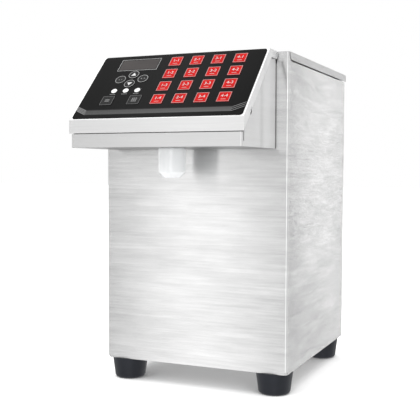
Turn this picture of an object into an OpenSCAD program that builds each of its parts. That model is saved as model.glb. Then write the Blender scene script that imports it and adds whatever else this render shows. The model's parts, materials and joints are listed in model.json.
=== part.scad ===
// Counter-top syrup dispenser: a bent-sheet cabinet on four feet, with a tank under a
// hinged lid, a gear pump, and a sloping key panel over a drop-down nozzle.

/* [Cabinet] */
// Width across the side sheets
body_w = 270; // [256:1:320]
// Depth from the front sheet to the rear panel
body_d = 287; // [280:1:340]
// Height of the cabinet without its feet
body_h = 422; // [400:1:500]
// Thickness of the cabinet sheet
sheet_t = 1; // [0.8:0.1:1.5]
// Outer radius of the bent front edges
bend_r = 3; // [2:0.5:5]
// Rounding of the sheet corners at the bottom
sheet_corner_r = 5; // [3:0.5:8]
// Width of the return flanges at the rear
return_w = 14; // [12:1:20]
// Width of the seam round the lid
seam = 2; // [1:0.1:2.5]
// Gap between the front sheet's top flange and the lid
front_seam = 3.2; // [2:0.1:3.8]
// Assembly gap between sheets that slip into each other
slip = 0.1; // [0.05:0.05:0.25]

/* [Base and feet] */
// Thickness of the base plate
base_t = 1.5; // [1:0.1:2.5]
// Height of the base plate's upturned edge
base_edge_h = 12; // [8:1:20]
// Height of a foot
foot_h = 30; // [20:1:45]
// Radius at the top of a foot
foot_top_r = 25.4; // [20:0.2:32]
// Radius of a foot's flat sole
foot_sole_r = 17; // [12:0.5:19]
// Rounding at the bottom edge of a foot
foot_edge_r = 5; // [2:0.5:6]
// Distance from the side sheet to a foot's centre
foot_side = 24.7; // [24:0.1:45]
// Distance from the front sheet to a front foot's centre
foot_front = 22.2; // [22:0.1:45]
// Distance from the rear panel to a rear foot's centre
foot_rear = 31.3; // [28:0.1:50]

/* [Lid] */
// Height of the lid's skirt
skirt_h = 10; // [8:0.5:16]
// Distance from the front sheet to the lid
lid_front = 5.5; // [5:0.1:9]
// Thickness of the lid sheet
lid_t = 1; // [0.8:0.1:1.5]
// Rounding of the skirt's lower front corner
skirt_corner_r = 7; // [4:0.5:7.5]
// Outer radius of the hinge barrels
barrel_r = 4.4; // [3.8:0.1:4.8]
// Radius of the hinge pin
hinge_pin_r = 2; // [1.5:0.1:2.4]
// Clearance between a barrel and the rear panel
barrel_gap = 0.2; // [0.15:0.05:0.4]
// Half the length of the middle barrel
mid_barrel = 40; // [30:1:50]
// Distance from the centre to the outer barrels
end_barrel = 95; // [80:1:105]
// Side gap between neighbouring barrels
knuckle_gap = 0.4; // [0.3:0.1:1]
// Thickness of the hinge leaf
leaf_t = 1.2; // [1:0.1:1.6]
// Height of the hinge leaf on the rear panel
leaf_h = 22; // [18:1:30]

/* [Tank] */
// Width of the tank
tank_w = 226; // [200:1:230]
// Depth of the tank
tank_d = 200; // [180:1:205]
// Depth of the tank below the deck
tank_h = 185; // [150:1:195]
// Rounding of the tank's upright corners
tank_r = 22; // [12:1:30]
// Thickness of the tank wall
tank_t = 1; // [0.8:0.1:1.5]
// Width of the tank's flange
flange_w = 8; // [6:0.5:9]
// Distance from the front sheet to the tank
tank_front = 40; // [38:1:60]
// Depth of the deck below the top of the side sheets
deck_drop = 2; // [1:0.5:4]
// Thickness of the lid gasket
gasket_t = 2; // [1.5:0.5:3]
// Width of the lid gasket
gasket_w = 8; // [6:0.5:10]
// Thickness of the heater pad
heater_t = 3; // [2:0.5:4]

/* [Pump] */
// Gear module
gear_m = 2; // [1.8:0.1:2.1]
// Teeth on each gear
gear_teeth = 12; // [12:2:14]
// Pressure angle of the teeth
pressure_a = 25; // [22:1:26]
// Backlash at the pitch circle, taken off each tooth
backlash = 0.15; // [0.1:0.05:0.3]
// Face width of the gears
gear_w = 14; // [10:1:18]
// Clearance round the gear tips
tip_gap = 0.1; // [0.08:0.01:0.2]
// Radius of the pump shafts
shaft_r = 4; // [3.5:0.1:4.4]
// Running clearance of shafts and pins
run_gap = 0.05; // [0.02:0.01:0.08]
// Wall of the pump body
pump_wall = 7; // [6.5:0.5:8]
// Height of the gear mesh above the cabinet's underside
pump_z = 62; // [58:1:90]
// Radius of the motor
motor_r = 28; // [24:1:30]
// Length of the motor
motor_len = 66; // [50:1:80]
// Thickness of the pump bracket
bracket_t = 3; // [2:0.5:4]

/* [Hoses] */
// Inner radius of the hoses
hose_ir = 5; // [4.8:0.1:5.6]
// Outer radius of the hoses
hose_or = 7.5; // [7:0.1:8]
// Bend radius of the hoses
hose_bend = 20; // [18:1:22]
// Straight length of hose on each port
hose_grip = 12; // [10:1:14]
// Gap between the riser and the tank
riser_gap = 2.5; // [1.5:0.5:3]
// Height of the hose run into the head, above the head's floor
hose_rise = 49; // [46:1:54]

/* [Head] */
// Width across the cheeks
head_w = 235; // [225:1:245]
// Depth of the head in front of the cabinet
head_d = 120.5; // [112:0.5:128]
// Height of the head
head_h = 125; // [122:1:140]
// Depth of the flat on top of the head
top_flat = 30.6; // [28:0.2:34]
// Thickness of the head sheet
head_t = 1.2; // [1:0.1:1.5]
// Width across the panel's lips
panel_w = 239; // [229:1:249]
// Height of the front lip
lip_h = 17; // [15:0.5:19]
// Gap under the front lip
lip_gap = 0.8; // [0.5:0.1:2.5]
// Setback of the lower band behind the front lip
band_set = 0.8; // [0.5:0.1:2]
// Radius of the pivot ear
ear_r = 5; // [4.5:0.1:5.5]
// Radius of the pivot pin
pivot_r = 2.5; // [2:0.1:2.8]

/* [Nozzle] */
// Distance from the centre plane, to the left
nozzle_left = 6; // [0:0.5:10]
// Distance from the cabinet's front
nozzle_out = 54; // [50:0.5:56]
// Outer radius of the shroud
nozzle_r = 18.2; // [16:0.2:20]
// Length of the shroud
nozzle_len = 38; // [30:1:45]
// Chamfer at the mouth
nozzle_chamfer = 7; // [4:0.5:8]
// Radius of the spout bore
spout_r = 3.5; // [3:0.1:4]

/* [Key panel] */
// Distance between key columns
key_pitch_x = 30; // [26:0.5:30.5]
// Distance between key rows
key_pitch_y = 25; // [22:0.5:25.5]
// Width of a portion key
key_w = 16.5; // [14:0.5:18]
// Height of a portion key
key_h = 17.5; // [14:0.5:18]
// Centre of the first key column
key_x = -5.5; // [-7:0.5:-4]
// Centre of the lowest key row above the front edge
key_y = 35.2; // [33:0.1:36]
// Clearance round a key
key_gap = 0.25; // [0.15:0.05:0.4]
// Height of a key above the membrane
key_proud = 0.5; // [0.3:0.1:1]
// Width of the flange that holds a key in
key_flange = 1; // [0.8:0.1:1.5]
// Radius of a round key
round_key_r = 7.3; // [6:0.1:7.5]
// Thickness of the membrane
membrane_t = 0.5; // [0.3:0.1:0.8]
// Width of the display window
window_w = 59; // [50:1:60]
// Height of the display window
window_h = 23.8; // [20:0.2:24]
// Radius of an indicator lens
lens_r = 4; // [3:0.1:4.2]
// Distance from the panel sheet to the control board
board_gap = 8; // [7:0.5:10]

/* [Power supply] */
// Width of the power supply
supply_w = 90; // [70:1:96]
// Depth of the power supply
supply_d = 80; // [60:1:84]
// Height of the power supply
supply_h = 38; // [28:1:50]
// Number of terminals
supply_ways = 5; // [3:1:6]

/* [Hidden] */
$fn = 64;
COLUMNS = [1:4];
ROWS = [1:4];

// Places in the cabinet's own frame: y = 0 on its front face, z = 0 on its underside.
in_w = body_w - 2 * sheet_t;
side_h = body_h - skirt_h - seam;
rear_in = body_d - sheet_t;
return_y = rear_in - sheet_t;
hinge_y = body_d + barrel_gap + barrel_r;
hinge_z = body_h - barrel_r;
front_y = (head_d - hinge_y - barrel_r) / 2;
seat_gap = 0.2;
flange_screws = [20, side_h / 2, side_h - 40];
leaf_screws = [0.35 * end_barrel, 0.8 * end_barrel];
foot_seat = 12;
harness_x = 60;
harness_r = 7;
vent_w = 4;
vent_len = 40;

// Tank and deck
deck_top = side_h - deck_drop;
tank_z = deck_top - tank_h;
rim_z = body_h - lid_t - gasket_t - seat_gap;
heater_w = 0.66 * tank_w;
heater_d = 0.6 * tank_d;
thermostat_z = tank_z + 40;
thermostat_r = 8;
spigot_r = hose_ir - run_gap;
spigot_bore = hose_ir - 1.5;
spigot_len = hose_grip + 1;

// Gears and pump
pitch_r = gear_m * gear_teeth / 2;
gear_base_r = pitch_r * cos(pressure_a);
tip_r = pitch_r + gear_m;
root_r = pitch_r - 1.25 * gear_m;
cavity_r = tip_r + tip_gap;
pump_hw = cavity_r + pump_wall;
riser_y = tank_front - hose_or - riser_gap;
pump_y = riser_y + 2 * hose_bend + 4;
pump_x = -nozzle_left + hose_bend + hose_grip + 1 + pump_hw;
suction_x = pump_x + pump_hw + 1 + hose_grip + hose_bend;
pump_front = pump_y - gear_w / 2 - run_gap;
pump_rear = pump_y + gear_w / 2 + run_gap + pump_wall;
pump_cover_t = 6;
pocket = 3.2;
motor_y = pump_rear + bracket_t;
motor_bore = 15;
pump_screw_r = cavity_r + pump_wall / 2;
pump_screw_a = 40;
bracket_foot = 30;
gearbox_len = 26;

// Head
slope_a = 45;
head_z = body_h - head_h;
slope_z = body_h - (head_d - top_flat) * tan(slope_a);
slope_len = (head_d - top_flat) / cos(slope_a);
pivot_y = ear_r + 0.3;
pivot_z = body_h - ear_r;
lip_d = lip_h * cos(slope_a);
band_y = -head_d + band_set;
band_top = slope_z - lip_h - lip_gap;
head_bend = 3;
slit_w = 3;
slit_h = 11;
rear_flange = 10;
flange_top = pivot_z - 2 * ear_r;
hose_z = head_z + head_t + hose_rise;
stem_r = 9;
nut_t = 6;
stem_top = head_z + head_t + nut_t + 1;

// Key panel, on the slope
membrane_w = panel_w - 5;
membrane_low = 1.9;
pad_x = -58.4;
pad_dx = 16.5;
pad_dy = 9.1;
square_dx = 19.6;
square_key = 17;
lens_pitch = 17;
lens_y = key_y + key_h / 2 + 10.35;
pad_y = lens_y + lens_r + 18.9;
window_y = pad_y + pad_dy + round_key_r + key_flange + 0.8 + window_h / 2;
plate_back = -head_t;
board_z = plate_back - board_gap;
board_t = 1.6;
board_w = membrane_w - 2 * 12;
board_low = key_y - key_h / 2 - 5;
board_high = slope_len - 5;
key_back = plate_back - 1;
key_travel = 0.4;
stud_v = 25;
stud_in = 7;
stud_r = 1.25;
notch_w = 6;
notch_in = 2.5;
notch_out = 6;

// Fasteners
screw_r = 2;
screw_len = 12;
screw_head_r = 3.8;
screw_head_h = 2.2;
hole_r = screw_r + 0.15;

// Rear fittings
inlet_x = 60 - body_w / 2;
switch_x = inlet_x + 55;
rear_fit_z = 62;
inlet_w = 27;
inlet_h = 19.8;
inlet_pitch = 40;
inlet_depth = 18;
switch_w = 14;
switch_h = 28.5;
switch_depth = 16;
rocker_w = 10;
rocker_half = 12;
rocker_tilt = 9;
rocker_in = 3.5;
trunnion_r = 1.5;
mount_hole_r = 1.7;

// Power supply
supply_x = inlet_x - 2;
supply_y = body_d - 97;
terminal_d = 12;
terminal_h = 14;
terminal_pitch = 12;

module place() {
    translate([0, front_y, foot_h]) children();
}

// Extrudes a y-z outline across the width, or an x-z outline backwards.
module along_x(x0, x1) {
    translate([x0, 0, 0]) rotate([90, 0, 90]) linear_extrude(x1 - x0) children();
}
module along_y(y0, y1) {
    translate([0, y1, 0]) rotate([90, 0, 0]) linear_extrude(y1 - y0) children();
}
module rod_x(x0, x1, y, z, r) {
    translate([x0, y, z]) rotate([0, 90, 0]) cylinder(h = x1 - x0, r = r);
}
module rod_y(y0, y1, x, z, r) {
    translate([x, y1, z]) rotate([90, 0, 0]) cylinder(h = y1 - y0, r = r);
}
module rod_z(z0, z1, x, y, r) {
    translate([x, y, z0]) cylinder(h = z1 - z0, r = r);
}
module block(x0, x1, y0, y1, z0, z1) {
    translate([x0, y0, z0]) cube([x1 - x0, y1 - y0, z1 - z0]);
}
module both_sides() {
    children();
    mirror([1, 0, 0]) children();
}

// Plan outlines: round at the front corners only, or at all four.
module front_round(w, y0, y1, r) {
    translate([-w / 2, y0 + r]) square([w, y1 - y0 - r]);
    translate([-w / 2 + r, y0]) square([w - 2 * r, 2 * r]);
    for (s = [-1, 1]) translate([s * (w / 2 - r), y0 + r]) circle(r);
}
module round_rect(w, d, r) {
    square([w - 2 * r, d], center = true);
    square([w, d - 2 * r], center = true);
    for (i = [-1, 1]) for (j = [-1, 1]) translate([i * (w / 2 - r), j * (d / 2 - r)]) circle(r);
}

// The panel's own frame: x across, y up the slope from the front edge, z outwards.
module on_slope() {
    translate([0, -head_d, slope_z]) rotate([slope_a, 0, 0]) children();
}

// A pan-head screw pointing down, with its seat at z = 0.
module pan_screw() {
    difference() {
        union() {
            cylinder(h = screw_head_h, r = screw_head_r);
            translate([0, 0, -screw_len]) cylinder(h = screw_len + 0.5, r = screw_r);
        }
        for (a = [0, 90]) rotate(a) translate([-2, -0.5, 1]) cube([4, 1, screw_head_h]);
    }
}

// ---- Cabinet ----

// Side view of the room the lid needs: it takes off the top of the side sheets.
module lid_seat() {
    r = skirt_corner_r + seam;
    y = lid_front - front_seam;
    translate([y + r, side_h]) square([body_d, skirt_h + seam + 1]);
    translate([y, side_h + r]) square([body_d, skirt_h + seam + 1 - r]);
    translate([y + r, side_h + r]) circle(r);
}
// What is cut off a square sheet corner at the origin to round it.
module corner_cut(r) {
    difference() {
        translate([-1, -1]) square(r + 1);
        translate([r, r]) circle(r);
    }
}
module rear_screw_places() {
    for (x = [-1, 1]) for (z = flange_screws)
        translate([x * (body_w / 2 - sheet_t - return_w / 2), 0, z]) children();
}
module leaf_screw_places() {
    for (s = [-1, 1]) for (x = leaf_screws) translate([s * x, 0, side_h - leaf_h / 2]) children();
}
module foot_places() {
    for (x = [-1, 1]) for (y = [foot_front, body_d - foot_rear])
        translate([x * (body_w / 2 - foot_side), y, 0]) children();
}

module cabinet_shell() {
    color("gainsboro") place() difference() {
        union() {
            linear_extrude(body_h) difference() {
                front_round(body_w, 0, body_d, bend_r);
                front_round(in_w, sheet_t, body_d + 1, bend_r - sheet_t);
            }
            both_sides() block(body_w / 2 - return_w, in_w / 2 + sheet_t / 2, return_y, rear_in,
                               sheet_corner_r, side_h - 1);
            block(-in_w / 2 + bend_r, in_w / 2 - bend_r, sheet_t / 2, lid_front - front_seam,
                  body_h - sheet_t, body_h);
        }
        along_x(-body_w, body_w) lid_seat();
        both_sides() {
            translate([-body_w / 2, 0, 0]) along_y(-1, sheet_corner_r) corner_cut(sheet_corner_r);
            along_x(in_w / 2 - bend_r, body_w) corner_cut(sheet_corner_r);
            translate([0, body_d, 0]) mirror([0, 1, 0])
                along_x(in_w / 2, body_w) corner_cut(sheet_corner_r);
        }
        rod_y(-1, 2 * sheet_t, -nozzle_left, hose_z, hose_or + 1);
        rod_y(-1, 2 * sheet_t, harness_x, hose_z + hose_bend, harness_r);
        rear_screw_places() rod_y(return_y - 1, rear_in + 1, 0, 0, hole_r);
    }
}

module base_plate() {
    edge = in_w / 2 - slip;
    y0 = sheet_t + slip;
    y1 = return_y - slip;
    color("silver") place() difference() {
        linear_extrude(base_edge_h) front_round(2 * edge, y0, y1, bend_r);
        translate([0, 0, base_t]) linear_extrude(base_edge_h)
            front_round(2 * (edge - base_t), y0 + base_t, y1 - base_t, bend_r);
        foot_places() rod_z(-1, base_t + 1, 0, 0, hole_r);
        for (i = [-4:4]) translate([supply_x + i * 2.4 * vent_w, supply_y, -1])
            linear_extrude(base_t + 2) vent_slot();
    }
}
// A vent slot along y.
module vent_slot() {
    straight = vent_len - vent_w;
    square([vent_w, straight], center = true);
    for (s = [-1, 1]) translate([0, s * straight / 2]) circle(vent_w / 2);
}

module rear_panel() {
    edge = in_w / 2 - slip;
    color("silver") place() difference() {
        block(-edge, edge, rear_in, body_d, slip, side_h - slip);
        for (s = [-1, 1]) for (i = [-4:3])
            translate([s * 0.9 * vent_len, 0, side_h / 2 + (3 * i - 5) * vent_w])
                along_y(rear_in - 1, body_d + 1) rotate(90) vent_slot();
        translate([inlet_x, 0, rear_fit_z]) along_y(rear_in - 1, body_d + 1)
            square([inlet_w + 0.4, inlet_h + 0.4], center = true);
        translate([switch_x, 0, rear_fit_z]) along_y(rear_in - 1, body_d + 1)
            square([switch_w + 0.4, switch_h + 0.4], center = true);
        rear_screw_places() rod_y(rear_in - 1, body_d + 1, 0, 0, hole_r);
        leaf_screw_places() rod_y(rear_in - 1, body_d + 1, 0, 0, hole_r);
        for (s = [-1, 1]) rod_y(rear_in - 1, body_d + 1, inlet_x + s * inlet_pitch / 2, rear_fit_z,
                                mount_hole_r);
    }
}

module top_deck() {
    edge = in_w / 2 - slip;
    y0 = sheet_t + slip;
    y1 = return_y - slip;
    lip = 12;
    color("silver") place() difference() {
        translate([0, 0, deck_top - lip]) linear_extrude(lip) front_round(2 * edge, y0, y1, bend_r);
        translate([0, 0, deck_top - lip - 1]) linear_extrude(lip + 1 - sheet_t)
            front_round(2 * (edge - sheet_t), y0 + sheet_t, y1 - sheet_t, bend_r);
        translate([0, tank_front + tank_d / 2, deck_top - lip]) linear_extrude(lip + 1)
            round_rect(tank_w + 2, tank_d + 2, tank_r + 1);
        leaf_screw_places() rod_y(y1 - 2 * sheet_t, y1 + 1, 0, 0, hole_r);
    }
}

// ---- Feet ----

module foot() {
    rotate_extrude() difference() {
        union() {
            polygon([[0, 0], [foot_top_r, 0], [foot_sole_r + foot_edge_r, foot_edge_r - foot_h],
                     [foot_sole_r, foot_edge_r - foot_h], [foot_sole_r, -foot_h], [0, -foot_h]]);
            translate([foot_sole_r, foot_edge_r - foot_h]) circle(foot_edge_r);
        }
        translate([-1, -foot_h - 1]) square([screw_head_r + 2.2, foot_h - foot_seat + 1]);
        translate([-1, -foot_seat - 1]) square([hole_r + 1, foot_seat + 2]);
    }
}
module feet() {
    color("#17181b") place() foot_places() foot();
}

// Feet, rear panel, hinge leaf and pump cover are all held by the same screws.
module pan_screws() {
    color("silver") place() {
        foot_places() translate([0, 0, -foot_seat]) rotate([180, 0, 0]) pan_screw();
        rear_screw_places() translate([0, body_d, 0]) rotate([-90, 0, 0]) pan_screw();
        leaf_screw_places() translate([0, body_d + leaf_t, 0]) rotate([-90, 0, 0]) pan_screw();
        pump_screw_places() translate([0, pump_front - pump_cover_t, 0]) rotate([90, 0, 0])
            pan_screw();
    }
}

// ---- Lid and its hinge ----

module lid_side() {
    low = body_h - skirt_h;
    difference() {
        union() {
            translate([lid_front, low]) square([hinge_y - lid_front, skirt_h]);
            translate([hinge_y - 1, low]) square([barrel_r + 1, hinge_z - low]);
            translate([hinge_y, hinge_z]) circle(barrel_r);
        }
        translate([lid_front, low]) corner_cut(skirt_corner_r);
    }
}
module lid() {
    low = body_h - skirt_h;
    half = body_w / 2 - lid_t;
    notch_y = hinge_y - barrel_r - 0.6;
    color("gainsboro") place() difference() {
        union() {
            difference() {
                along_x(-body_w / 2, body_w / 2) lid_side();
                block(-half, half, lid_front + lid_t, body_d + 20, low - 1, body_h - lid_t);
            }
            both_sides() rod_x(end_barrel, half + lid_t / 2, hinge_y, hinge_z, barrel_r);
            rod_x(-mid_barrel, mid_barrel, hinge_y, hinge_z, barrel_r);
        }
        both_sides() block(mid_barrel, end_barrel, notch_y, hinge_y + 20, low - 1, body_h + 1);
        rod_x(-half, half, hinge_y, hinge_z, hinge_pin_r + run_gap);
    }
}
module hinge_leaf() {
    x0 = mid_barrel + knuckle_gap;
    x1 = end_barrel - knuckle_gap;
    color("silver") place() difference() {
        union() {
            block(-x1, x1, body_d, body_d + leaf_t, side_h - leaf_h, side_h - slip);
            both_sides() {
                block(x0, x1, body_d, body_d + leaf_t, side_h - 1, hinge_z);
                rod_x(x0, x1, hinge_y, hinge_z, barrel_r);
            }
        }
        rod_x(-x1 - 1, x1 + 1, hinge_y, hinge_z, hinge_pin_r + run_gap / 2);
        leaf_screw_places() rod_y(body_d - 1, body_d + leaf_t + 1, 0, 0, hole_r);
    }
}
module hinge_pin() {
    end = body_w / 2 - lid_t - 0.5;
    color("dimgray") place() rod_x(-end, end, hinge_y, hinge_z, hinge_pin_r);
}
module lid_gasket() {
    color("ivory") place() translate([0, tank_front + tank_d / 2, body_h - lid_t - gasket_t])
        linear_extrude(gasket_t) difference() {
            round_rect(tank_w + gasket_w, tank_d + gasket_w, tank_r + gasket_w / 2);
            round_rect(tank_w - gasket_w, tank_d - gasket_w, tank_r - gasket_w / 2);
        }
}

// ---- Tank ----

module tank() {
    y = tank_front + tank_d / 2;
    color("whitesmoke") place() difference() {
        union() {
            translate([0, y, tank_z]) linear_extrude(rim_z - tank_z)
                round_rect(tank_w, tank_d, tank_r);
            translate([0, y, deck_top]) linear_extrude(tank_t)
                round_rect(tank_w + 2 * flange_w, tank_d + 2 * flange_w, tank_r + flange_w);
            rod_z(tank_z - spigot_len, tank_z + tank_t / 2, suction_x, pump_y, spigot_r);
        }
        translate([0, y, tank_z + tank_t]) linear_extrude(rim_z)
            round_rect(tank_w - 2 * tank_t, tank_d - 2 * tank_t, tank_r - tank_t);
        rod_z(tank_z - spigot_len - 1, tank_z + 2 * tank_t, suction_x, pump_y, spigot_bore);
    }
}
module tank_heater() {
    color("#c8502c") place() translate([-20, tank_front + tank_d / 2 + 10, tank_z - heater_t])
        linear_extrude(heater_t) round_rect(heater_w, heater_d, 8);
}
module thermostat() {
    y = tank_front + tank_d;
    color("gainsboro") place() translate([0, 0, thermostat_z]) {
        rod_y(y, y + 3, 0, 0, 1.5 * thermostat_r);
        rod_y(y + 2, y + 9, 0, 0, thermostat_r);
        both_sides() block(3, 6, y + 8, y + 16, -0.4, 0.4);
    }
}

// ---- Pump ----

function inv(a) = tan(a) * 180 / PI - a;
// Half the angle that a tooth takes up at radius r.
function half_tooth(r) = 90 / gear_teeth - backlash / (2 * pitch_r) * 180 / PI
    + inv(pressure_a) - inv(acos(min(1, gear_base_r / r)));
FLANK_STEPS = 5;
flank = concat([root_r], [for (i = [0:FLANK_STEPS])
    gear_base_r + (tip_r - gear_base_r) * i / FLANK_STEPS]);
function polar(r, a) = [r * cos(a), r * sin(a)];
// Involute outline with one tooth centred on the angle phase.
function gear_outline(phase) = [
    for (t = [0:gear_teeth - 1], s = [-1, 1], i = [0:len(flank) - 1])
        let (r = flank[s < 0 ? i : len(flank) - 1 - i],
             a = phase + 360 / gear_teeth * t)
            polar(r, a + s * half_tooth(max(r, gear_base_r)))];

module pump_outline() {
    square([2 * pump_hw, 2 * pitch_r], center = true);
    for (s = [-1, 1]) translate([0, s * pitch_r]) circle(pump_hw);
}
module pump_screw_places() {
    for (x = [-1, 1]) for (z = [-1, 1])
        translate([pump_x + x * pump_screw_r * cos(pump_screw_a), 0,
                   pump_z + z * (pitch_r + pump_screw_r * sin(pump_screw_a))]) children();
}
module pump_body() {
    color("#b9bcc0") place() difference() {
        union() {
            translate([pump_x, 0, pump_z]) along_y(pump_front, pump_rear) pump_outline();
            for (s = [-1, 1]) translate([pump_x, pump_y, pump_z]) rotate([0, s * 90, 0])
                cylinder(h = pump_hw + 1 + spigot_len, r = spigot_r);
        }
        for (s = [-1, 1]) rod_y(pump_front - 1, pump_rear - pump_wall, pump_x,
                                pump_z + s * pitch_r, cavity_r);
        for (s = [-1, 1]) translate([pump_x + s * 5, pump_y, pump_z]) rotate([0, s * 90, 0])
            cylinder(h = pump_hw + 2 * spigot_len, r = spigot_bore);
        rod_y(pump_rear - pump_wall - 1, pump_rear + 1, pump_x, pump_z - pitch_r, shaft_r + run_gap);
        rod_y(pump_rear - pump_wall - 1, pump_rear - 2, pump_x, pump_z + pitch_r, shaft_r + run_gap);
        pump_screw_places() rod_y(pump_front - 1, pump_front + 7, 0, 0, hole_r);
    }
}
module pump_cover() {
    y0 = pump_front - pump_cover_t;
    color("#a9adb2") place() difference() {
        translate([pump_x, 0, pump_z]) along_y(y0, pump_front) pump_outline();
        for (s = [-1, 1]) rod_y(pump_front - pocket, pump_front + 1, pump_x, pump_z + s * pitch_r,
                                shaft_r + run_gap);
        pump_screw_places() rod_y(y0 - 1, pump_front + 1, 0, 0, hole_r);
    }
}
module drive_gear() {
    color("#8f9499") place() translate([pump_x, 0, pump_z - pitch_r]) {
        along_y(pump_y - gear_w / 2, pump_y + gear_w / 2) polygon(gear_outline(90));
        rod_y(pump_front - pocket + 0.2, motor_y + motor_bore - 1, 0, 0, shaft_r);
    }
}
module driven_gear() {
    color("#8f9499") place() translate([pump_x, 0, pump_z + pitch_r]) {
        along_y(pump_y - gear_w / 2, pump_y + gear_w / 2)
            polygon(gear_outline(-90 + 180 / gear_teeth));
        rod_y(pump_front - pocket + 0.2, pump_rear - 2.2, 0, 0, shaft_r);
    }
}
module motor() {
    rear = motor_y + motor_len;
    color("#3a3d42") place() translate([pump_x, 0, pump_z - pitch_r]) difference() {
        union() {
            rod_y(motor_y, motor_y + gearbox_len, 0, 0, motor_r);
            rod_y(motor_y + gearbox_len - 1, rear, 0, 0, motor_r - 3);
            rod_y(rear - 1, rear + 4, 0, 0, motor_r * 0.4);
            both_sides() block(motor_r - 10, motor_r - 9, rear - 1, rear + 7, -2.5, 2.5);
        }
        rod_y(motor_y - 1, motor_y + motor_bore, 0, 0, shaft_r + run_gap);
        for (a = [0:60:300]) rotate([0, a, 0])
            rod_y(motor_y + gearbox_len - 4, motor_y + gearbox_len + 1, motor_r - 1.5, 0, 1);
    }
}
module motor_bracket() {
    half = motor_r;
    color("silver") place() difference() {
        union() {
            block(pump_x - half, pump_x + half, pump_rear, motor_y, base_t,
                  pump_z + pitch_r + pump_hw);
            block(pump_x - half, pump_x + half, pump_rear, motor_y + bracket_foot, base_t,
                  base_t + bracket_t);
        }
        rod_y(pump_rear - 1, motor_y + 1, pump_x, pump_z - pitch_r, shaft_r + 2);
    }
}

// ---- Hoses ----

module bend(r) {
    rotate_extrude(angle = 90) translate([hose_bend, 0]) circle(r);
}
module suction_path(r, over) {
    rod_z(pump_z + hose_bend, tank_z - 1 + over, suction_x, pump_y, r);
    translate([suction_x - hose_bend, pump_y, pump_z + hose_bend])
        rotate([90, 0, 0]) rotate(-90) bend(r);
    rod_x(pump_x + pump_hw + 1 - over, suction_x - hose_bend, pump_y, pump_z, r);
}
module delivery_path(r, over) {
    x = -nozzle_left;
    rod_x(x + hose_bend, pump_x - pump_hw - 1 + over, pump_y, pump_z, r);
    translate([x + hose_bend, pump_y - hose_bend, pump_z]) rotate(90) bend(r);
    rod_y(riser_y + hose_bend, pump_y - hose_bend, x, pump_z, r);
    translate([x, riser_y + hose_bend, pump_z + hose_bend]) rotate([90, 0, 90]) rotate(180) bend(r);
    rod_z(pump_z + hose_bend, hose_z - hose_bend, x, riser_y, r);
    translate([x, riser_y - hose_bend, hose_z - hose_bend]) rotate([90, 0, 90]) bend(r);
    rod_y(-nozzle_out + hose_bend, riser_y - hose_bend, x, hose_z, r);
    translate([x, -nozzle_out + hose_bend, hose_z - hose_bend])
        rotate([90, 0, 90]) rotate(90) bend(r);
    rod_z(stem_top + 1 - over, hose_z - hose_bend, x, -nozzle_out, r);
}
module suction_hose() {
    color("#d9dde0") place() difference() {
        suction_path(hose_or, 0);
        suction_path(hose_ir, 1);
    }
}
module delivery_hose() {
    color("#d9dde0") place() difference() {
        delivery_path(hose_or, 0);
        delivery_path(hose_ir, 1);
    }
}

// ---- Electrical fittings ----

// A vented case with an open terminal block at its rear end.
module power_supply() {
    slot_pitch = 9;
    slots = floor((supply_w - 2 * slot_pitch) / slot_pitch);
    rear = supply_d / 2;
    half = (supply_ways * terminal_pitch + 2) / 2;
    color("#8c9096") place() translate([supply_x, supply_y, base_t]) {
        difference() {
            block(-supply_w / 2, supply_w / 2, -rear, rear, 0, supply_h);
            for (i = [0:slots]) translate([(i - slots / 2) * slot_pitch, 0, 0])
                block(-1.5, 1.5, 10 - rear, rear - 10, supply_h - 2, supply_h + 1);
        }
        block(-half, half, rear - 1, rear + terminal_d, 0, terminal_h - 5);
        for (i = [0:supply_ways]) translate([i * terminal_pitch - half + 1, 0, 0])
            block(-1, 1, rear - 1, rear + terminal_d, 0, terminal_h);
        for (i = [1:supply_ways]) translate([(i - 0.5) * terminal_pitch - half + 1,
                                             rear + terminal_d / 2, 0])
            cylinder(h = terminal_h - 3, r = 3.2);
    }
}

module inlet_face(grow) {
    w = 24.7 / 2 + grow;
    h = 16.5 / 2 + grow;
    c = 4.5;
    polygon([[-w, -h], [w, -h], [w, h - c], [w - c, h], [c - w, h], [-w, h - c]]);
}
module inlet_socket() {
    front = body_d + 3;
    floor_y = front - 15.5;
    color("#1b1c1f") place() translate([inlet_x, 0, rear_fit_z]) {
        difference() {
            union() {
                along_y(body_d, front) round_rect(inlet_pitch + 9, inlet_h + 3, 4);
                along_y(body_d - inlet_depth, body_d + 1) square([inlet_w, inlet_h], center = true);
            }
            along_y(floor_y, front + 1) inlet_face(0);
            for (s = [-1, 1]) rod_y(body_d - 1, front + 1, s * inlet_pitch / 2, 0,
                                         mount_hole_r);
        }
        for (x = [-7, 0, 7]) translate([x - 1, floor_y - 1, x == 0 ? 0 : -4]) cube([2, 11.5, 4]);
    }
}

module switch_housing() {
    cav_w = rocker_w + 0.6;
    cav_h = 2 * rocker_half + 2.4;
    color("#1b1c1f") place() translate([switch_x, 0, rear_fit_z]) difference() {
        union() {
            along_y(body_d, body_d + 2) round_rect(switch_w + 4, switch_h + 3.5, 1.5);
            along_y(body_d - switch_depth, body_d + 1) square([switch_w, switch_h], center = true);
        }
        along_y(body_d - rocker_in - 6.5, body_d + 3) square([cav_w, cav_h], center = true);
        rod_x(-rocker_w / 2 - 1.2, rocker_w / 2 + 1.2, body_d - rocker_in, 0,
              trunnion_r + run_gap);
    }
}
// The rocker rests tilted, with its lower end out.
module rocker() {
    h = rocker_half;
    color("#26272b") place() translate([switch_x, body_d - rocker_in, rear_fit_z]) {
        rotate([rocker_tilt, 0, 0]) along_x(-rocker_w / 2, rocker_w / 2)
            polygon([[4.5, -h], [3.2, 0], [4.5, h], [-1, h], [-5.5, 0], [-1, -h]]);
        rod_x(-rocker_w / 2 - 1, rocker_w / 2 + 1, 0, 0, trunnion_r);
    }
}

// ---- Head ----

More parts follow.
